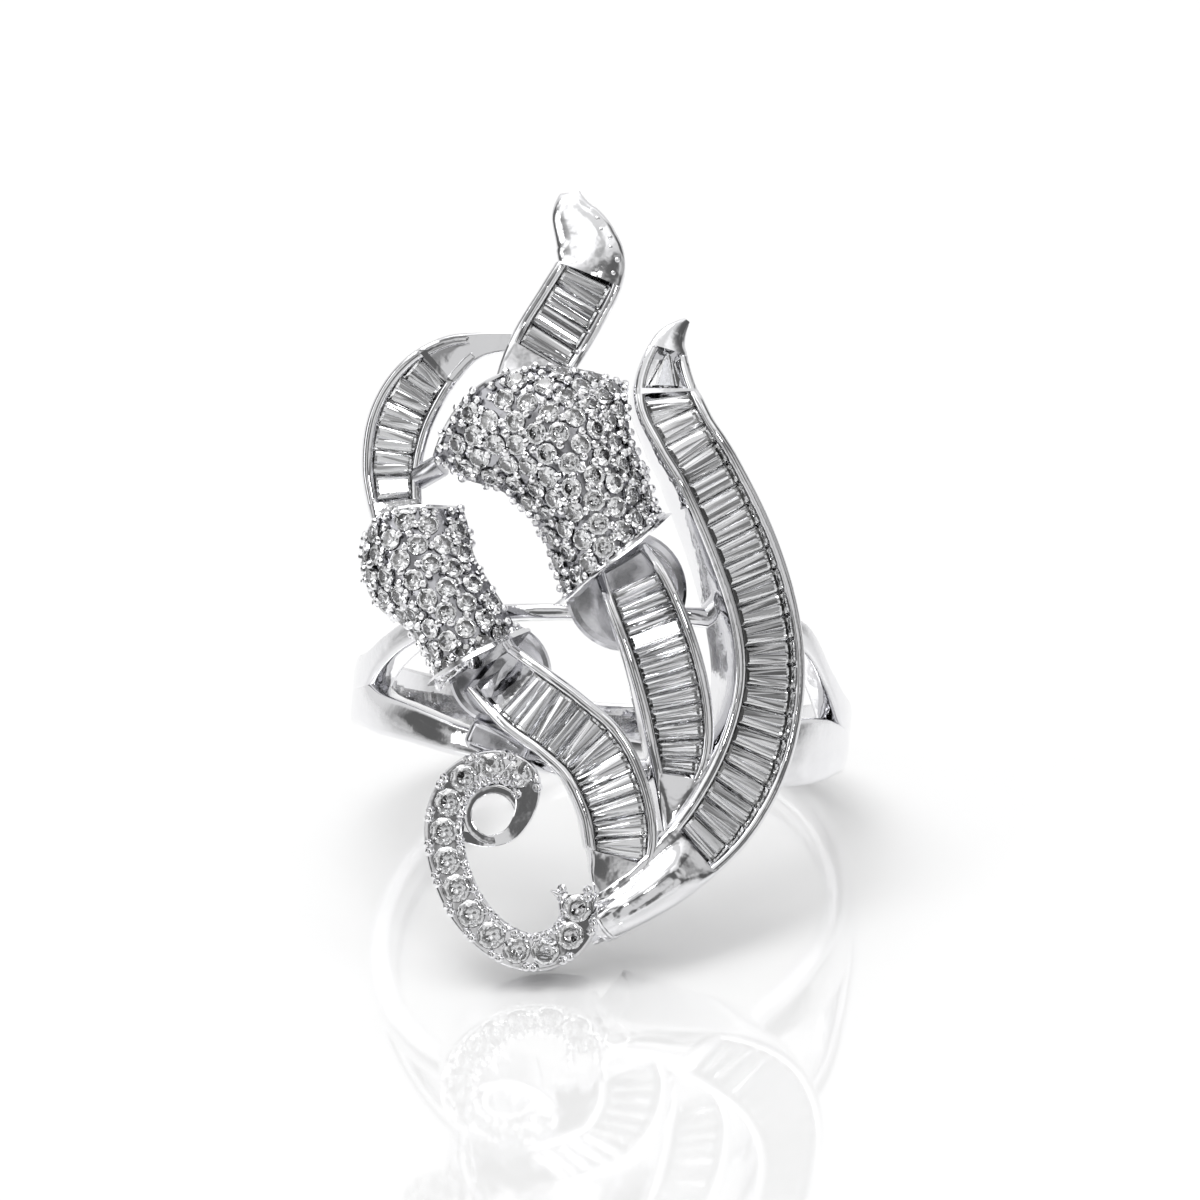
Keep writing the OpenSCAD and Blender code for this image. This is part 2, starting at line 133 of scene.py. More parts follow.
left_leaf = [
    [-8.40, 6.40, 9.5, 1.00, 8, 1.2],
    [-8.75, 8.20, 9.4, 1.16, 10, 1.3],
    [-8.60, 10.00, 9.5, 1.24, 10, 1.3],
    [-7.95, 11.50, 9.7, 1.14, 6, 1.3],
    [-6.95, 12.60, 9.8, 0.84, 2, 1.2],
    [-5.90, 13.15, 9.9, 0.48, 0, 1.0],
    [-4.60, 13.40, 10.0, 0.34, 0, 0.9],
]
scroll = [
    [-4.75, -5.50, 11.3, 0.20, 0, 1.5],
    [-3.85, -5.62, 11.3, 0.22, 0, 1.5],
    [-2.95, -5.22, 11.4, 0.28, 0, 1.6],
    [-2.50, -4.20, 11.4, 0.42, 0, 1.7],
    [-2.66, -3.20, 11.4, 0.62, 0, 1.7],
    [-3.50, -2.78, 11.3, 0.66, 0, 1.7],
    [-4.50, -3.02, 11.2, 0.68, 0, 1.7],
    [-5.25, -3.80, 11.2, 0.72, 0, 1.7],
    [-5.50, -5.10, 11.3, 0.76, 0, 1.7],
    [-5.20, -6.60, 11.4, 0.76, 0, 1.6],
    [-4.40, -8.10, 11.5, 0.76, 0, 1.5],
    [-3.20, -9.20, 11.6, 0.74, 0, 1.5],
    [-1.90, -9.62, 11.7, 0.74, 0, 1.6],
    [-0.75, -9.25, 11.8, 0.76, 0, 1.9],
    [-0.15, -8.35, 11.8, 0.76, 0, 2.3],
    [-0.35, -7.30, 11.8, 0.66, 0, 2.3],
]

# Bells from the mouth up: left x, z, depth, right x, z, depth, bow along the bell, bulge to the front
upper_bell = [
    [-1.75, 3.75, 10.3, 1.42, 7.35, 10.2, -0.1, 2.7],
    [-2.42, 5.20, 10.5, 0.80, 8.90, 10.4, 0.2, 2.7],
    [-3.20, 6.60, 10.7, 0.15, 10.20, 10.6, 0.5, 2.6],
    [-4.50, 7.60, 10.7, -0.05, 11.20, 10.7, 1.0, 2.4],
    [-6.10, 8.00, 10.4, -0.15, 11.80, 10.5, 1.5, 2.2],
    [-7.25, 8.75, 9.9, -0.30, 12.20, 10.1, 1.9, 2.0],
]
left_bell = [
    [-6.15, 0.10, 9.0, -3.35, 2.30, 10.1, 0.0, 2.2],
    [-6.70, 1.25, 8.8, -3.95, 3.25, 10.1, 0.1, 2.1],
    [-7.60, 2.25, 8.5, -4.70, 4.25, 10.0, 0.2, 2.0],
    [-8.80, 3.00, 8.2, -5.35, 5.20, 9.8, 0.4, 1.8],
    [-9.50, 4.20, 7.9, -5.65, 6.20, 9.6, 0.6, 1.7],
    [-9.45, 5.45, 7.7, -5.95, 6.95, 9.5, 0.8, 1.6],
]

# Stone rows, in sections of their ribbon: first, last, number of stones
spray_run = (2.06, 9.52, 22)
middle_run = (0.75, 4.92, 12)
left_run = (0.75, 5.15, 11)
upper_leaf_cuts = (3.25, 5.38, 4)
left_leaf_run = (0.45, 3.40, 6)
scroll_run = (3.75, 15.05, 13)
tip_run = (1.15, 1.9)
tip_groove = 0.45
# Section of the long spray where its solid bar starts to thin out
bar_end = 12.2

# Cups behind the bells: x, z, depth of the rim, radius, height
upper_cup = (0.50, 4.35, 10.35, 2.30, 1.5)
left_cup = (-3.95, 0.80, 9.90, 1.95, 1.3)
# Posts and walls behind the head: x, z, depth
leaf_post = ((-7.80, 7.90, 9.0), (-6.90, 8.50, 9.5))
bell_post = ((-6.60, 2.55, 6.8), (-7.10, 2.70, 8.9))
# Wall over the scroll: x, z from and to, half thickness, lowest and highest depth
gallery = ((-4.95, -1.50), (-2.60, -2.25), 0.55, 7.6, 10.6)
# Pointed prong at the scroll's last stone: x, z and depth of its root, then of its tip
scroll_prong = ((-0.72, -7.42, 11.7), (-1.28, -7.25, 11.95))
# Round hole in the scroll's end: x, z, front and back depth, inner and outer radius
scroll_hole = (-3.69, -4.60, 11.33, 9.75, 0.80, 1.12)
foot = ((-2.30, -9.98), (-0.75, -9.83), 0.40, 10.1, 11.6)


# Curves and frames


def pick(rows, i):
    return rows[max(0, min(len(rows) - 1, i))]


def smooth(rows, t):
    """A smooth row between the rows of a table, where t counts in rows."""
    i = max(0, min(len(rows) - 2, floor(t)))
    f = t - i
    mixed = []
    for a, b, c, d in zip(pick(rows, i - 1), pick(rows, i), pick(rows, i + 1), pick(rows, i + 2)):
        line = 2 * b + (c - a) * f
        bend = (2 * a - 5 * b + 4 * c - d) * f * f + (3 * b - a - 3 * c + d) * f**3
        mixed.append(0.5 * (line + bend))
    return mixed


def centre(rows, t):
    row = smooth(rows, t)
    return Vector((row[0], -row[2], row[1]))


def way(rows, t):
    return (centre(rows, t + 0.01) - centre(rows, t - 0.01)).normalized()


def face(rows, t):
    lean = radians(smooth(rows, t)[4])
    out = Vector((sin(lean), -cos(lean), 0))
    along = way(rows, t)
    return (out - out.dot(along) * along).normalized()


def side(rows, t):
    return way(rows, t).cross(face(rows, t))


def place(rows, t, across, out):
    return centre(rows, t) + across * side(rows, t) + out * face(rows, t)


def border(run, count, i):
    return run[0] + (run[1] - run[0]) * i / count


def even(rows, run, share):
    """The section at an even distance along a run."""
    steps = 60
    marks = [centre(rows, border(run, steps, i)) for i in range(steps + 1)]
    lengths = [0]
    for a, b in zip(marks, marks[1:]):
        lengths.append(lengths[-1] + (b - a).length)
    wanted = share * lengths[-1]
    i = max(k for k in range(steps) if lengths[k] <= wanted)
    part = (wanted - lengths[i]) / (lengths[i + 1] - lengths[i])
    return border(run, steps, i + part)


# Mesh tools


def rounded(corners, steps=3):
    """Corners of a section, each an across, an out and a radius, with each corner as a soft curve."""
    points = []
    count = len(corners)
    for i, (across, out, radius) in enumerate(corners):
        corner = Vector((across, out))
        before = Vector(corners[i - 1][:2]) - corner
        after = Vector(corners[(i + 1) % count][:2]) - corner
        first = corner + before.normalized() * min(radius, 0.45 * before.length)
        last = corner + after.normalized() * min(radius, 0.45 * after.length)
        for k in range(steps + 1):
            f = k / steps
            points.append((1 - f) ** 2 * first + 2 * f * (1 - f) * corner + f * f * last)
    return points


def sweep(bm, sections, closed=False):
    """A skin through sections with the same number of points, drawn out from one to the next."""
    order = bm.verts.layers.int.get("order") or bm.verts.layers.int.new("order")
    first = [bm.verts.new(point) for point in sections[0]]
    for i, vert in enumerate(first):
        vert[order] = i
    ring = [bm.edges.new((a, b)) for a, b in zip(first, first[1:] + first[:1])]
    first_ring = list(ring)
    for section in sections[1:]:
        drawn = bmesh.ops.extrude_edge_only(bm, edges=ring)["geom"]
        fresh = [item for item in drawn if isinstance(item, bmesh.types.BMVert)]
        for vert in fresh:
            vert.co = section[vert[order]]
        known = set(fresh)
        ring = [e for e in drawn if isinstance(e, bmesh.types.BMEdge) and set(e.verts) <= known]
    if closed:
        bmesh.ops.bridge_loops(bm, edges=first_ring + ring)
    else:
        for end in (first_ring, ring):
            bmesh.ops.edgeloop_fill(bm, edges=end)


def add_mesh(bm, source, matrix, material=0):
    """A copy of a small bmesh, put in place."""
    spare = bpy.data.meshes.new("spare")
    source.to_mesh(spare)
    spare.transform(matrix)
    before = set(bm.faces)
    bm.from_mesh(spare)
    bpy.data.meshes.remove(spare)
    for item in bm.faces:
        if item not in before:
            item.material_index = material


def turned(at, across, up, out, size=1.0):
    """The matrix of a place with its three ways."""
    rows = Matrix((across * size, up * size, out * size)).transposed().to_4x4()
    rows.translation = at
    return rows


def finish_piece(name, bm, materials, replaced=(), sharp=34):
    """Makes an object in the row's frame from a bmesh in the finger frame."""
    bmesh.ops.remove_doubles(bm, verts=bm.verts, dist=1e-4)
    bmesh.ops.recalc_face_normals(bm, faces=bm.faces)
    bmesh.ops.transform(bm, matrix=to_row, verts=bm.verts)
    mesh = bpy.data.meshes.new(name)
    bm.to_mesh(mesh)
    bm.free()
    for item in materials:
        mesh.materials.append(item)
    mesh.shade_smooth()
    mesh.set_sharp_from_angle(angle=radians(sharp))
    piece = bpy.data.objects.new(name, mesh)
    bpy.context.scene.collection.objects.link(piece)
    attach(piece, "root")
    if replaced:
        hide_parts(*replaced)


def carve(body, cutter):
    """The body with the cutter taken out of it, both as bmeshes."""
    objects = []
    for name, bm in (("carve_body", body), ("carve_cutter", cutter)):
        bmesh.ops.recalc_face_normals(bm, faces=bm.faces)
        mesh = bpy.data.meshes.new(name)
        bm.to_mesh(mesh)
        bm.free()
        item = bpy.data.objects.new(name, mesh)
        bpy.context.scene.collection.objects.link(item)
        objects.append(item)
    cut = objects[0].modifiers.new("cut", "BOOLEAN")
    cut.object = objects[1]
    cut.operation = "DIFFERENCE"
    cut.solver = "MANIFOLD"
    bpy.context.view_layer.update()
    graph = bpy.context.evaluated_depsgraph_get()
    result = bmesh.new()
    result.from_mesh(bpy.data.meshes.new_from_object(objects[0].evaluated_get(graph)))
    for item in objects:
        bpy.data.objects.remove(item)
    return result


# Materials


def new_material(name):
    material = bpy.data.materials.new(name)
    material.use_nodes = True
    nodes = material.node_tree.nodes
    return material, nodes, material.node_tree.links, nodes["Principled BSDF"]


def hand_polish_group():
    """Faint cloudiness and fine wiping marks that polishing leaves."""
    group = bpy.data.node_groups.new("hand_polish", "ShaderNodeTree")
    for name, value in (("Cloud scale", 900.0), ("Mark scale", 4200.0), ("Low", 0.05), ("High", 0.12)):
        socket = group.interface.new_socket(name=name, in_out="INPUT", socket_type="NodeSocketFloat")
        socket.default_value = value
    group.interface.new_socket(name="Roughness", in_out="OUTPUT", socket_type="NodeSocketFloat")
    group.interface.new_socket(name="Cloud", in_out="OUTPUT", socket_type="NodeSocketFloat")
    group.interface.new_socket(name="Marks", in_out="OUTPUT", socket_type="NodeSocketFloat")
    nodes = group.nodes
    links = group.links
    entry = nodes.new("NodeGroupInput")
    leave = nodes.new("NodeGroupOutput")
    place_of = nodes.new("ShaderNodeTexCoord")
    cloud = nodes.new("ShaderNodeTexNoise")
    cloud.inputs["Detail"].default_value = 3
    marks = nodes.new("ShaderNodeTexNoise")
    marks.inputs["Detail"].default_value = 4
    marks.inputs["Distortion"].default_value = 1.5
    spread = nodes.new("ShaderNodeMapRange")
    links.new(place_of.outputs["Object"], cloud.inputs["Vector"])
    links.new(place_of.outputs["Object"], marks.inputs["Vector"])
    links.new(entry.outputs["Cloud scale"], cloud.inputs["Scale"])
    links.new(entry.outputs["Mark scale"], marks.inputs["Scale"])
    links.new(cloud.outputs["Fac"], spread.inputs["Value"])
    spread.inputs["From Min"].default_value = 0.3
    spread.inputs["From Max"].default_value = 0.7
    links.new(entry.outputs["Low"], spread.inputs["To Min"])
    links.new(entry.outputs["High"], spread.inputs["To Max"])
    links.new(spread.outputs["Result"], leave.inputs["Roughness"])
    links.new(cloud.outputs["Fac"], leave.inputs["Cloud"])
    links.new(marks.outputs["Fac"], leave.inputs["Marks"])
    return group


def metal_material(name, polish, light, dark, rough, marks_height):
    """White metal whose colour drifts between two greys, with its polish from the shared group."""
    material, nodes, links, shader = new_material(name)
    wear = nodes.new("ShaderNodeGroup")
    wear.node_tree = polish
    wear.inputs["Low"].default_value = rough[0]
    wear.inputs["High"].default_value = rough[1]
    tone = nodes.new("ShaderNodeMix")
    tone.data_type = "RGBA"
    tone.inputs["A"].default_value = (*dark, 1)
    tone.inputs["B"].default_value = (*light, 1)
    waves = nodes.new("ShaderNodeBump")
    waves.inputs["Strength"].default_value = 1.0
    waves.inputs["Distance"].default_value = 0.00003
    bump = nodes.new("ShaderNodeBump")
    bump.inputs["Strength"].default_value = 0.25
    bump.inputs["Distance"].default_value = marks_height
    links.new(wear.outputs["Cloud"], waves.inputs["Height"])
    links.new(waves.outputs["Normal"], bump.inputs["Normal"])
    links.new(wear.outputs["Cloud"], tone.inputs["Factor"])
    links.new(tone.outputs["Result"], shader.inputs["Base Color"])
    links.new(wear.outputs["Roughness"], shader.inputs["Roughness"])
    links.new(wear.outputs["Marks"], bump.inputs["Height"])
    links.new(bump.outputs["Normal"], shader.inputs["Normal"])
    shader.inputs["Metallic"].default_value = 1.0
    return material


def stone_material(name, light, dark, scale):
    """Clear stone: bright, strongly bending, with a faint drift in its clearness."""
    material, nodes, links, shader = new_material(name)
    place_of = nodes.new("ShaderNodeTexCoord")
    drift = nodes.new("ShaderNodeTexNoise")
    drift.inputs["Scale"].default_value = scale
    drift.inputs["Detail"].default_value = 2
    tone = nodes.new("ShaderNodeMix")
    tone.data_type = "RGBA"
    tone.inputs["A"].default_value = (*dark, 1)
    tone.inputs["B"].default_value = (*light, 1)
    links.new(place_of.outputs["Object"], drift.inputs["Vector"])
    links.new(drift.outputs["Fac"], tone.inputs["Factor"])
    links.new(tone.outputs["Result"], shader.inputs["Base Color"])
    shader.inputs["Roughness"].default_value = 0.0
    shader.inputs["IOR"].default_value = 2.25
    shader.inputs["Transmission Weight"].default_value = 1.0
    return material


polish_group = hand_polish_group()
white_metal = metal_material(
    "polished_white_metal", polish_group, (0.90, 0.90, 0.91), (0.80, 0.80, 0.82), (0.04, 0.11), 0.000002)
bead_metal = metal_material(
    "bright_bead_metal", polish_group, (0.93, 0.93, 0.94), (0.84, 0.84, 0.86), (0.03, 0.08), 0.000001)
# The gallery's metal is a darker grey copy of the white metal: painted shade for the parts that sit behind
# the head.
shaded_gallery_metal = metal_material(
    "painted_shade_gallery_metal", polish_group, (0.72, 0.72, 0.74), (0.52, 0.52, 0.55), (0.14, 0.26), 0.000004)
# The pave ground is a darker grey copy of the white metal, a little rougher: painted shade between the stones
# and beads of the bells.
painted_shade_pave = metal_material(
    "painted_shade_pave_metal", polish_group, (0.50, 0.50, 0.52), (0.28, 0.28, 0.30), (0.12, 0.24), 0.000004)
clear_round = stone_material("clear_round_stone", (0.99, 0.99, 1.0), (0.93, 0.94, 0.96), 1500.0)
clear_baguette = stone_material("clear_baguette_stone", (0.99, 0.99, 1.0), (0.90, 0.91, 0.93), 700.0)


# Stones


def brilliant_cut():
    """A round brilliant of unit diameter: table, stars, kites, girdle and pavilion."""
    bm = bmesh.new()
    rings = (
        (8, 0.285, 0.145, 0.0),
        (8, 0.42, 0.075, 22.5),
        (16, 0.5, 0.012, 0.0),
        (16, 0.5, -0.012, 0.0),
        (8, 0.20, -0.285, 0.0),
    )
    for count, radius, height, start in rings:
        for k in range(count):
            angle = radians(start + 360 * k / count)
            bm.verts.new((radius * cos(angle), radius * sin(angle), height))
    bm.verts.new((0, 0, -0.43))
    bmesh.ops.convex_hull(bm, input=bm.verts)
    bmesh.ops.dissolve_limit(bm, angle_limit=radians(1), verts=bm.verts, edges=bm.edges)
    return bm


# Steps of a baguette from its table to its keel: share of half width, cut back from the ends, height
baguette_steps = (
    (0.56, 0.16, -0.02),
    (0.82, 0.07, -0.07),
    (1.00, 0.00, -0.16),
    (1.00, 0.00, -0.21),
    (0.68, 0.03, -0.42),
    (0.34, 0.06, -0.58),
    (0.06, 0.10, -0.69),
)


def add_baguette(bm, rows, start, end):
    """A step cut baguette between two borders of its channel."""
    middle = (start + end) / 2
    half = smooth(rows, middle)[3] - rail_t + tuck_under_rail
    at = centre(rows, middle)
    across = side(rows, middle)
    along = way(rows, middle)
    out = face(rows, middle)
    wide = []
    for e in (-half, half):
        wide.append((place(rows, end, e, 0) - place(rows, start, e, 0)).length / 2 - stone_gap)
    part = bmesh.new()
    for share, back, height in baguette_steps:
        for e, q in ((-1, -1), (1, -1), (1, 1), (-1, 1)):
            reach = e * (half - back)
            spread = (wide[0] + wide[1]) / 2 + (wide[1] - wide[0]) * reach / (2 * half)
            part.verts.new(at + reach * across + q * share * spread * along + height * out)
    bmesh.ops.convex_hull(part, input=part.verts)
    bmesh.ops.dissolve_limit(part, angle_limit=radians(1), verts=part.verts, edges=part.edges)
    add_mesh(bm, part, Matrix.Identity(4))
    part.free()


def baguette_row(prefix, rows, run):
    """One piece for each stone of a row, in place of its node."""
    count = run[2]
    for i in range(count):
        bm = bmesh.new()
        add_baguette(bm, rows, even(rows, run, i / count), even(rows, run, (i + 1) / count))
        finish_piece(f"{prefix}_cut_{i + 1}", bm, [clear_baguette], [f"{prefix}_{i + 1}"], sharp=1)


def tip_stone():
    """A tapered stone in the recess at the long spray's tip."""
    bm = bmesh.new()
    start = tip_run[0] + 0.06
    end = tip_run[1] - 0.05
    for t, reach in ((start, 0.10), ((start + end) / 2, 0.34), (end, 0.66)):
        limit = min(reach, smooth(long_spray, t)[3] - rail_t - 0.03)
        for share, height in ((0.55, 0.02), (1.0, -0.12), (0.5, -0.36)):
            for e in (-1, 1):
                bm.verts.new(place(long_spray, t, e * share * max(0.08, limit), height))
    bmesh.ops.convex_hull(bm, input=bm.verts)
    finish_piece("spray_tip_stone", bm, [clear_baguette], sharp=1)


def leaf_stones(name, node, rows, run):
    bm = bmesh.new()
    count = run[2]
    for i in range(count):
        add_baguette(bm, rows, even(rows, run, i / count), even(rows, run, (i + 1) / count))
    finish_piece(name, bm, [clear_baguette], [node], sharp=1)


# Metal pieces


def shank_section(angle, z, h):
    """Section of the band: flat inside, softly domed outside."""
    corners = (
        (finger_r, -h, 0.16),
        (band_r - 0.12, -h, 0.22),
        (band_r, -0.45 * h, 0.3),
        (band_r, 0.45 * h, 0.3),
        (band_r - 0.12, h, 0.22),
        (finger_r, h, 0.16),
    )
    return [Vector((p.x * sin(angle), -p.x * cos(angle), z + p.y)) for p in rounded(corners)]


def shank_loop(bm, column):
    parts = 12
    count = (len(shank) - 1) * parts
    sections = []
    for i in range(count):
        row = smooth(shank, i / parts)
        sections.append(shank_section(radians(row[0]), row[column], row[column + 1]))
    sweep(bm, sections, closed=True)


def channel_section(rows, t, deep, crown, ridge, back):
    """Section of a ribbon, drawn round its edge: with a groove, or else with a crowned top."""
    row = smooth(rows, t)
    half = max(0.12, row[3])
    low = row[5]
    inner = max(0.02, half - rail_t)
    if deep:
        shoulder = (inner, 0, 0.17)
        bottom = (0.97 * inner, -deep, 0.02)
    else:
        shoulder = (0.62 * half, (0.75 - 0.85 * ridge) * crown, 0.3 * half * (1 - 0.6 * ridge))
        bottom = (0.25 * half, crown, 0.3 * half)
    far_shoulder = (0.62 * half, 0.75 * crown, 0.3 * half) if ridge and not deep else shoulder
    inside = max(0.3 * half, 0.9 * half - 0.38)
    corners = (
        (-0.9 * half, -low, 0.1),
        (-inside, -low, 0.08),
        (-0.94 * inside, back - low, 0.08),
        (0.94 * inside, back - low, 0.08),
        (inside, -low, 0.08),
        (0.9 * half, -low, 0.1),
        (half, -0.4 * low, 0.2),
        (half, 0, 0.19),
        shoulder,
        bottom,
        (-bottom[0], bottom[1], bottom[2]),
        (-far_shoulder[0], far_shoulder[1], far_shoulder[2]),
        (-half, 0, 0.19),
        (-half, -0.4 * low, 0.2),
    )
    return [place(rows, t, p.x, p.y) for p in rounded(corners)]


def channel_ribbon(bm, rows, runs, crowns=(), ridge=0, hollow=None, fine=8):
    """A ribbon whose grooves start and end with a square wall, crowned where a crown is given.

    A ridge keeps the ribbon's left rail standing beside a crown. A hollow is cut into the ribbon's back.
    """
    last = len(rows) - 1
    stations = [(i / fine, 0) for i in range(last * fine + 1)]
    for start, end, deep in runs:
        stations = [(t, d) for t, d in stations if not start - 0.02 <= t <= end + 0.02]
        stations += [(start - 0.006, 0), (start, deep), (end, deep), (end + 0.006, 0)]
        inside = [i / fine for i in range(last * fine + 1) if start + 0.02 < i / fine < end - 0.02]
        stations += [(t, deep) for t in inside]
    stations.sort()
    sections = []
    for t, deep in stations:
        crown = 0
        for start, end, height in crowns:
            if start <= t <= end:
                f = min(1, (t - start + 0.15) / 0.8)
                crown = height * f * f * (3 - 2 * f)
        back = open_back
        if hollow and hollow[0] <= t <= hollow[1]:
            back = hollow[2]
        sections.append(channel_section(rows, t, deep, crown, ridge if t > last / 2 else 0, back))
    sweep(bm, sections)


def ribbon_piece(name, rows, runs, crowns=(), ridge=0, collars=(), hollow=None):
    bm = bmesh.new()
    channel_ribbon(bm, rows, runs, crowns, ridge, hollow)
    for start, end in collars:
        sections = []
        for f, size in ((0, 1.0), (0.15, 1.07), (0.5, 1.1), (0.85, 1.07), (1, 1.0)):
            t = start + (end - start) * f
            middle = place(rows, t, 0, -0.4)
            crown = crowns[-1][2] * max(0, 1 - 1.3 * max(0, t - bar_end))
            section = channel_section(rows, t, 0, crown, ridge, open_back)
            sections.append([middle + size * (p - middle) for p in section])
        sweep(bm, sections)
    finish_piece(name, bm, [white_metal])


def upper_leaf_piece():
    """The upper leaf, whose tip carries a few grains beside its right edge."""
    bm = bmesh.new()
    channel_ribbon(bm, upper_leaf, [(3.19, 5.44, groove)], [(0, 3.2, 0.2), (5.45, 7, -0.1)])
    grain = bead_shape()
    grains = []
    for i, t in enumerate((1.55, 1.85, 2.15, 2.45, 2.75, 3.0)):
        grains.append((t, -smooth(upper_leaf, t)[3] + 0.34 + 0.16 * (i % 2), 0.12))
    for t in (3.85, 4.35, 4.85, 5.3):
        grains.append((t, -smooth(upper_leaf, t)[3] + 0.36, 0.09))
    for t, across, size in grains:
        at = place(upper_leaf, t, across, 0.06 if t < 3.2 else 0.0)
        add_mesh(bm, grain, turned(at, side(upper_leaf, t), way(upper_leaf, t), face(upper_leaf, t), size))
    grain.free()
    finish_piece("upper_leaf_ribbon", bm, [white_metal])


def bar(bm, start, end, radius):
    """A round bar between two points, given as x, z and depth."""
    a = Vector((start[0], -start[2], start[1]))
    b = Vector((end[0], -end[2], end[1]))
    rod = bmesh.new()
    bmesh.ops.create_cone(
        rod, cap_ends=True, segments=20, radius1=radius, radius2=radius, depth=(b - a).length)
    bmesh.ops.bevel(
        rod, geom=[e for e in rod.edges if e.calc_face_angle(0) > 1], offset=0.1 * radius,
        affect="EDGES", segments=2, profile=0.5, material=-1)
    turn = (b - a).to_track_quat("Z", "Y").to_matrix().to_4x4()
    add_mesh(bm, rod, Matrix.Translation((a + b) / 2) @ turn)
    rod.free()


def flat_wall(bm, wall):
    """A bevelled flat wall along a line, from one depth to another."""
    start, end, half, near, far = wall
    a = Vector((start[0], 0, start[1]))
    b = Vector((end[0], 0, end[1]))
    block = bmesh.new()
    bmesh.ops.create_cube(block, size=1)
    bmesh.ops.scale(block, vec=((b - a).length, far - near, 2 * half), verts=block.verts)
    bmesh.ops.bevel(
        block, geom=block.edges[:], offset=0.3, affect="EDGES", segments=4, profile=0.5, material=-1)
    turn = Matrix.Rotation(-atan((b.z - a.z) / (b.x - a.x)), 4, "Y")
    add_mesh(bm, block, Matrix.Translation((a + b) / 2 - Vector((0, (near + far) / 2, 0))) @ turn)
    block.free()


def cup(bm, sizes):
    """A round cup that closes a bell behind its stem, turned on a lathe."""
    x, z, depth, radius, height = sizes
    outline = (
        (0.0, 0.10), (0.55, 0.06), (0.74, -0.06), (0.86, -0.11), (0.95, -0.06), (1.0, 0.08),
        (0.98, 0.25), (0.9, 0.47), (0.72, 0.74), (0.40, 0.94), (0.0, 1.0))
    bowl = bmesh.new()
    chain = [bowl.verts.new((x + radius * r, -depth + height * h, z)) for r, h in outline]
    edges = [bowl.edges.new(pair) for pair in zip(chain, chain[1:])]
    bmesh.ops.spin(
        bowl, geom=chain + edges, cent=(x, 0, z), axis=(0, 1, 0), angle=2 * pi, steps=48, use_merge=True)
    bmesh.ops.remove_doubles(bowl, verts=bowl.verts, dist=1e-4)
    add_mesh(bm, bowl, Matrix.Identity(4))
    bowl.free()


# Pave bells


def bell_point(rows, t, u):
    """Surface of a bell: t counts in rows, u runs from its left edge to its right edge."""
    row = smooth(rows, t)
    low = smooth(rows, 0)
    top = smooth(rows, len(rows) - 1)
    left = Vector((row[0], -row[2], row[1]))
    right = Vector((row[3], -row[5], row[4]))
    along = Vector((top[0] + top[3] - low[0] - low[3], 0, top[1] + top[4] - low[1] - low[4])).normalized()
    across = (right - left).normalized()
    out = across.cross(along).normalized()
    turn = radians(bell_turn * (2 * u - 1))
    limit = radians(bell_turn)
    rise = (cos(turn) - cos(limit)) / (1 - cos(limit))
    part = 0.5 + 0.5 * sin(turn) / sin(limit)
    return left + part * (right - left) + row[7] * rise * out + row[6] * 4 * part * (1 - part) * along


def bell_ways(rows, t, u):
    across = (bell_point(rows, t, u + 0.01) - bell_point(rows, t, u - 0.01)).normalized()
    up = (bell_point(rows, t + 0.02, u) - bell_point(rows, t - 0.02, u)).normalized()
    out = across.cross(up).normalized()
    return across, out.cross(across), out


def bell_stone_places(rows):
    """Places of the round stones, each kept only where it stands clear of those before it."""
    last = len(rows) - 1
    fine = 54
    kept = []
    for i in range(fine + 1):
        for j in range(fine + 1):
            t = 0.34 + (last - 0.68) * i / fine
            u = 0.065 + 0.87 * j / fine
            point = bell_point(rows, t, u)
            if all((point - k[0]).length >= pave_pitch for k in kept):
                kept.append((point, t, u))
    return kept


def bell_bead_places(rows, stones):
    """Places of the beads: in the gaps between the stones and along the bell's edges."""
    last = len(rows) - 1
    fine = 60
    gaps = []
    for i in range(fine + 1):
        for j in range(fine + 1):
            t = 0.06 + (last - 0.12) * i / fine
            u = 0.012 + 0.976 * j / fine
            point = bell_point(rows, t, u)
            clear = min((point - stone[0]).length for stone in stones)
            if clear >= bead_clear:
                gaps.append((clear, point, t, u))
    gaps.sort(key=lambda gap: gap[0])
    kept = []
    for _, point, t, u in gaps:
        if all((point - k[0]).length >= bead_pitch for k in kept):
            kept.append((point, t, u))
    return kept


def bead_shape():
    """A small round bead of unit radius, with few faces."""
    bm = bmesh.new()
    bmesh.ops.create_uvsphere(bm, u_segments=8, v_segments=6, radius=1.0)
    return bm


def seat_cutter(places, diameter):
    """The drilled seats: a straight mouth over a narrowing end, at each place."""
    bm = bmesh.new()
    drill = bmesh.new()
    radius = 0.5 * diameter + seat_gap
    outline = ((radius, 0.6), (radius, -0.12), (0.35 * radius, -0.48 * diameter), (0, -0.50 * diameter))
    chain = [drill.verts.new((r, 0, h)) for r, h in ((0, 0.6),) + outline]
    edges = [drill.edges.new(pair) for pair in zip(chain, chain[1:])]
    bmesh.ops.spin(drill, geom=chain + edges, cent=(0, 0, 0), axis=(0, 0, 1), angle=2 * pi, steps=16,
                   use_merge=True)
    bmesh.ops.remove_doubles(drill, verts=drill.verts, dist=1e-4)
    for matrix in places:
        add_mesh(bm, drill, matrix)
    drill.free()
    return bm


def bell_wall(rows):
    """The bell's curved wall, a little lower between its rims."""
    last = len(rows) - 1
    between = [0.1 + (last - 0.22) * i / 28 for i in range(1, 28)]
    levels = [0, 0.06, 0.1] + between + [last - 0.12, last - 0.08, last]
    sections = []
    for t in levels:
        outer = []
        inner = []
        for j in range(bell_columns + 1):
            u = j / bell_columns
            out = bell_ways(rows, t, u)[2]
            low = 0.10 if 0 < j < bell_columns else 0.02
            outer.append(bell_point(rows, t, u) - low * out)
            inner.append(bell_point(rows, t, u) - bell_t * out)
        sections.append(outer + inner[::-1])
    bm = bmesh.new()
    sweep(bm, sections)
    return bm


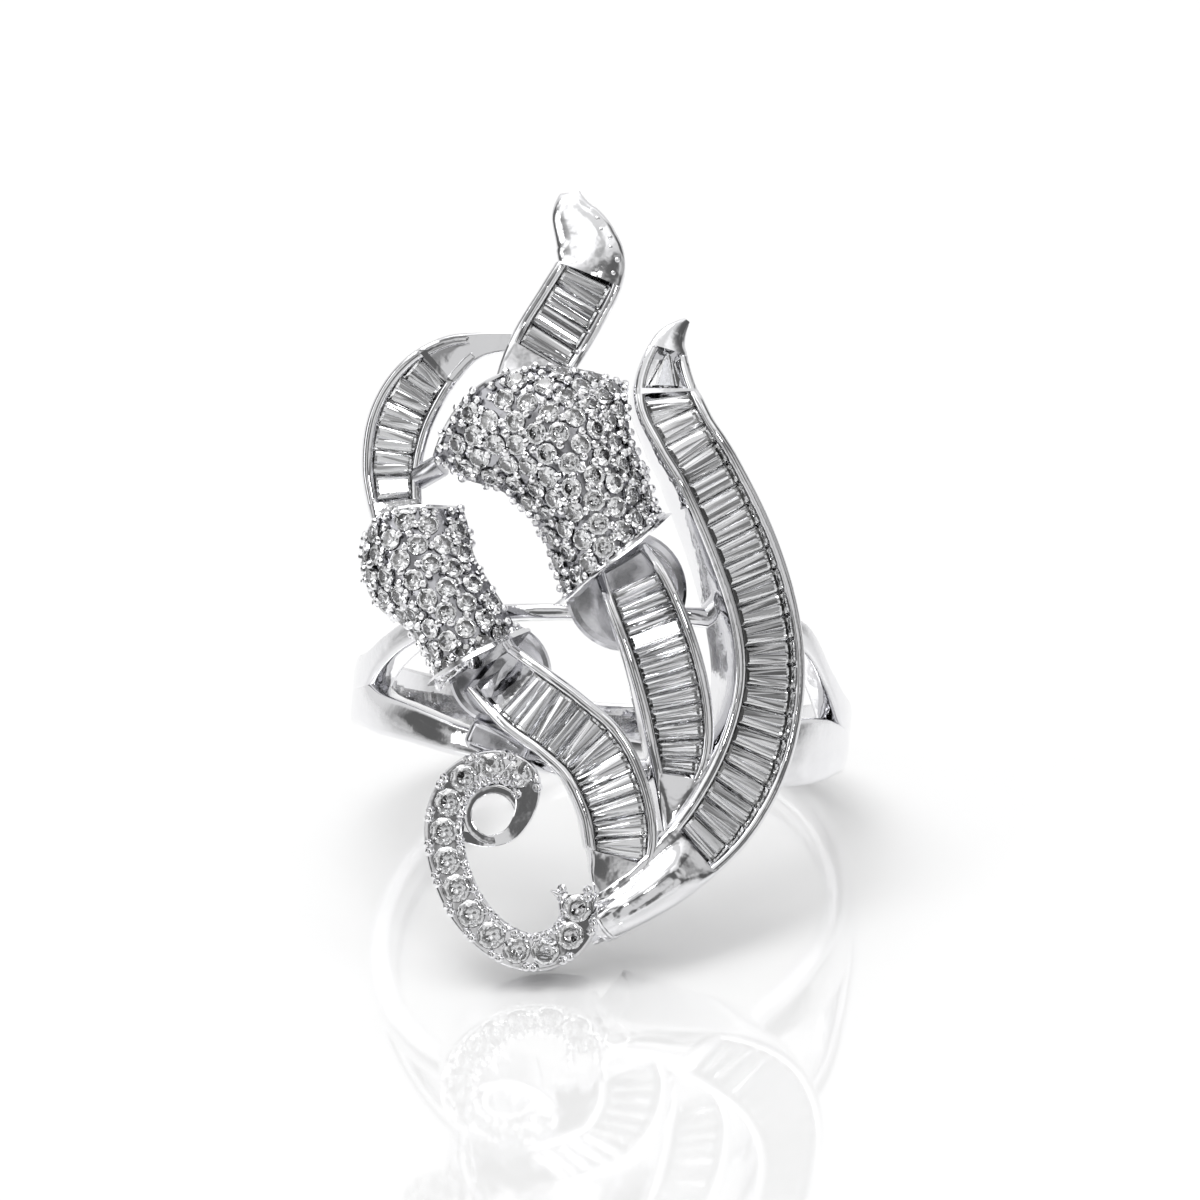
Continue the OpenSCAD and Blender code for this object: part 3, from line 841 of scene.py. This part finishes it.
def bell_collar(bm, rows, length):
    """The smooth collar under a bell's mouth, with thin rims there and along the bell's top."""
    sections = []
    last = len(rows) - 1
    for t, low in ((0.05, 0.17), (-0.35 * length, 0.2), (-0.8 * length, 0.24), (-length, 0.16)):
        outer = []
        inner = []
        for j in range(bell_columns + 1):
            u = j / bell_columns
            out = bell_ways(rows, t, u)[2]
            outer.append(bell_point(rows, t, u) - low * out)
            inner.append(bell_point(rows, t, u) - (low + 0.3) * out)
        sections.append(outer + inner[::-1])
    sweep(bm, sections)
    for t, low, radius in ((0.0, 0.13, 0.055), (-length, 0.2, 0.09), (last - 0.04, 0.06, 0.10)):
        rings = []
        for j in range(bell_columns + 1):
            u = j / bell_columns
            up, out = bell_ways(rows, t, u)[1:]
            at = bell_point(rows, t, u) - low * out
            rings.append([at + radius * (cos(a) * up + sin(a) * out) for a in (k * pi / 4 for k in range(8))])
        sweep(bm, rings)


def pave_bell(name, rows, node, collar):
    """A bell with its seats, stones, beads and collar as one body."""
    stones = bell_stone_places(rows)
    frames = [turned(point, *bell_ways(rows, t, u)) for point, t, u in stones]
    bm = carve(bell_wall(rows), seat_cutter(frames, pave_d))
    # The carved wall takes the darker pave ground metal, painted shade between the stones and beads.
    for item in bm.faces:
        item.material_index = 3
    bell_collar(bm, rows, collar)
    bead = bead_shape()
    for point, t, u in bell_bead_places(rows, stones):
        ways = bell_ways(rows, t, u)
        add_mesh(bm, bead, turned(point + 0.06 * ways[2], *ways, size=bead_r), 1)
    bead.free()
    gem = brilliant_cut()
    for frame_at in frames:
        add_mesh(bm, gem, frame_at @ Matrix.Translation((0, 0, -0.03)) @ Matrix.Scale(pave_d, 4), 2)
    gem.free()
    materials = [white_metal, bead_metal, clear_round, painted_shade_pave]
    finish_piece(name, bm, materials, [node], sharp=24)


# Scroll


def eyelet(bm, sizes):
    """A round hole's wall: a ring with soft edges, turned on a lathe."""
    x, z, front, back, inner, outer = sizes
    soft = 0.06
    outline = rounded((
        (inner, -front, soft), (outer, -front, soft), (outer, -back, soft), (inner, -back, soft)))
    ring = bmesh.new()
    chain = [ring.verts.new((x + p.x, p.y, z)) for p in outline]
    edges = [ring.edges.new(pair) for pair in zip(chain, chain[1:] + chain[:1])]
    bmesh.ops.spin(
        ring, geom=chain + edges, cent=(x, 0, z), axis=(0, 1, 0), angle=2 * pi, steps=40, use_merge=True)
    bmesh.ops.remove_doubles(ring, verts=ring.verts, dist=1e-4)
    add_mesh(bm, ring, Matrix.Identity(4))
    ring.free()


def prong(bm, ends):
    """A small pointed prong."""
    root, tip = (Vector((x, -depth, z)) for x, z, depth in ends)
    claw = bmesh.new()
    bmesh.ops.create_cone(
        claw, cap_ends=True, segments=12, radius1=0.24, radius2=0.03, depth=(tip - root).length)
    turn = (tip - root).to_track_quat("Z", "Y").to_matrix().to_4x4()
    add_mesh(bm, claw, Matrix.Translation((root + tip) / 2) @ turn)
    claw.free()


def scroll_piece():
    """The scroll with its row of stones, its beads, its foot and its prong as one body."""
    body = bmesh.new()
    channel_ribbon(body, scroll, [], fine=10)
    frames = []
    count = scroll_run[2]
    for i in range(count):
        t = even(scroll, scroll_run, (i + 0.5) / count)
        at = place(scroll, t, 0, -0.02)
        frames.append(turned(at, side(scroll, t), -way(scroll, t), face(scroll, t)))
    bm = carve(body, seat_cutter(frames, scroll_stone_d))
    bead = bead_shape()
    for i in range(count + 1):
        t = even(scroll, scroll_run, i / count)
        reach = smooth(scroll, t)[3] - 0.17
        ways = (side(scroll, t), way(scroll, t), face(scroll, t))
        for across, along in ((-reach, -0.19), (-reach, 0.19), (reach, -0.14), (reach, 0.14)):
            at = place(scroll, t, across, 0.09) + along * ways[1]
            add_mesh(bm, bead, turned(at, *ways, size=scroll_bead_r), 1)
    bead.free()
    gem = brilliant_cut()
    for frame_at in frames:
        add_mesh(bm, gem, frame_at @ Matrix.Translation((0, 0, 0.07)) @ Matrix.Scale(scroll_stone_d, 4), 2)
    gem.free()
    eyelet(bm, scroll_hole)
    prong(bm, scroll_prong)
    flat_wall(bm, foot)
    materials = [white_metal, bead_metal, clear_round]
    finish_piece("pave_scroll", bm, materials, ["scroll_stones"], sharp=24)


def shank_piece():
    bm = bmesh.new()
    shank_loop(bm, 1)
    shank_loop(bm, 3)
    finish_piece("split_shank", bm, [white_metal], ["ring_metal"], sharp=40)


def gallery_piece():
    """What carries the head from behind: cups, posts and the wall over the scroll."""
    bm = bmesh.new()
    cup(bm, upper_cup)
    cup(bm, left_cup)
    bar(bm, *leaf_post, 0.45)
    bar(bm, *bell_post, 0.6)
    flat_wall(bm, gallery)
    # The gallery takes the darker metal, painted shade behind the head.
    finish_piece("head_gallery", bm, [shaded_gallery_metal], sharp=30)


shank_piece()
gallery_piece()
spray_collars = [(12.22, 12.34), (12.40, 12.52)]
spray_grooves = [(*tip_run, tip_groove), (2.0, 9.58, groove)]
spray_crowns = [(0, 1.15, 0.12), (9.58, 12.6, 0.45)]
spray_hollow = (3.1, 8.9, 1.1)
stem_hollow = (1.2, 4.6, 0.8)
ribbon_piece("long_spray_ribbon", long_spray, spray_grooves, spray_crowns, 1, spray_collars, spray_hollow)
ribbon_piece(
    "middle_stem_ribbon", middle_stem, [(0.15, 4.98, groove)], [(4.98, 6, -0.12)], hollow=stem_hollow)
ribbon_piece(
    "left_stem_ribbon", left_stem, [(0.15, 5.21, groove)], [(5.21, 7, 0.03)], hollow=stem_hollow)
upper_leaf_piece()
ribbon_piece("left_leaf_ribbon", left_leaf, [(0.39, 3.46, groove), (3.6, 4.7, 0.12)])
pave_bell("upper_bell_pave", upper_bell, "upper_bell_stones", 0.36)
pave_bell("left_bell_pave", left_bell, "left_bell_stones", 0.6)
scroll_piece()
baguette_row("spray_stone", long_spray, spray_run)
baguette_row("middle_stone", middle_stem, middle_run)
baguette_row("left_stone", left_stem, left_run)
tip_stone()
leaf_stones("upper_leaf_cuts", "upper_leaf_stones", upper_leaf, upper_leaf_cuts)
leaf_stones("left_leaf_cuts", "left_leaf_stones", left_leaf, left_leaf_run)


# Floor, lights and camera


def table_top():
    """A pale, slightly glossy table top."""
    bm = bmesh.new()
    bmesh.ops.create_grid(bm, x_segments=1, y_segments=1, size=1.2)
    mesh = bpy.data.meshes.new("pale_table")
    bm.to_mesh(mesh)
    bm.free()
    top = bpy.data.objects.new("pale_table", mesh)
    bpy.context.scene.collection.objects.link(top)
    material, _, _, shader = new_material("pale_gloss_table")
    shader.inputs["Base Color"].default_value = (0.90, 0.90, 0.90, 1)
    shader.inputs["Roughness"].default_value = 0.05
    shader.inputs["IOR"].default_value = 2.3
    mesh.materials.append(material)


def softbox(name, at, towards, size, power):
    lamp = bpy.data.lights.new(name, "AREA")
    lamp.shape = "RECTANGLE"
    lamp.size = size[0]
    lamp.size_y = size[1]
    lamp.energy = power
    item = bpy.data.objects.new(name, lamp)
    item.location = at
    item.rotation_euler = (Vector(towards) - Vector(at)).to_track_quat("-Z", "Y").to_euler()
    bpy.context.scene.collection.objects.link(item)


def studio():
    """A light tent: bright above and behind, with darker gaps between its panels."""
    world = bpy.data.worlds.new("studio")
    world.use_nodes = True
    nodes = world.node_tree.nodes
    links = world.node_tree.links
    place_of = nodes.new("ShaderNodeTexCoord")
    apart = nodes.new("ShaderNodeSeparateXYZ")
    links.new(place_of.outputs["Generated"], apart.inputs["Vector"])
    gaps = nodes.new("ShaderNodeTexNoise")
    gaps.noise_dimensions = "4D"
    gaps.inputs["Scale"].default_value = 2.6
    gaps.inputs["Detail"].default_value = 1
    links.new(place_of.outputs["Generated"], gaps.inputs["Vector"])

    def spread(source, low, high, to_low, to_high):
        node = nodes.new("ShaderNodeMapRange")
        node.interpolation_type = "SMOOTHSTEP"
        node.inputs["From Min"].default_value = low
        node.inputs["From Max"].default_value = high
        node.inputs["To Min"].default_value = to_low
        node.inputs["To Max"].default_value = to_high
        links.new(source, node.inputs["Value"])
        return node.outputs["Result"]

    def combine(operation, a, b):
        node = nodes.new("ShaderNodeMath")
        node.operation = operation
        links.new(a, node.inputs[0])
        links.new(b, node.inputs[1])
        return node.outputs["Value"]

    panels = spread(gaps.outputs["Fac"], 0.42, 0.58, 0.12, 0.72)
    behind = spread(apart.outputs["Y"], 0.1, 0.6, 0.0, 0.8)
    above = spread(apart.outputs["Z"], 0.6, 0.9, 0.0, 0.7)
    below = spread(apart.outputs["Z"], -0.05, 0.02, 1.0, 0.0)
    right = spread(apart.outputs["X"], 0.7, 0.95, 1.0, 0.9)
    walls = combine("MULTIPLY", combine("MAXIMUM", panels, behind), right)
    light = combine("ADD", combine("MAXIMUM", walls, below), above)
    links.new(light, nodes["Background"].inputs["Strength"])
    nodes["Background"].inputs["Color"].default_value = (1, 1, 1, 1)
    bpy.context.scene.world = world
    bpy.context.scene.view_settings.view_transform = "Standard"
    softbox("overhead", (-0.1, 0.1, 0.6), (0, 0, 0), (0.5, 0.4), 1.6)
    softbox("left_box", (-0.45, -0.25, 0.3), (0, 0, 0.01), (0.2, 0.4), 0.35)
    softbox("small_spot", (0.2, -0.5, 0.35), (0, 0, 0.01), (0.06, 0.06), 0.15)


def camera():
    """The photograph's view: nearly along the hoop's plane, a little from below it and rolled."""
    distance = 320
    height_angle = radians(-2)
    tilt = radians(5.4)
    picture = 1200
    shown_mm = 26.4
    hole_x = 602
    hole_y = 704
    aim = Vector((0, -10, 0))
    at = aim + distance * Vector((0, -cos(height_angle), sin(height_angle)))
    look = (aim - at).to_track_quat("-Z", "Y").to_matrix().to_4x4()
    pose = Matrix.Translation(at) @ look @ Matrix.Rotation(tilt, 4, "Z")
    in_row = to_row @ pose
    lens = bpy.data.cameras.new("photo_view")
    lens.sensor_width = 36
    lens.lens = 36 * distance / (picture / shown_mm)
    lens.shift_x = (picture / 2 - hole_x) / picture
    lens.shift_y = (hole_y - picture / 2) / picture
    lens.clip_start = 0.01
    item = bpy.data.objects.new("photo_view", lens)
    spot, turn, _ = in_row.decompose()
    item.location = spot
    item.rotation_mode = "QUATERNION"
    item.rotation_quaternion = turn
    bpy.context.scene.collection.objects.link(item)
    bpy.context.scene.camera = item


table_top()
studio()
camera()
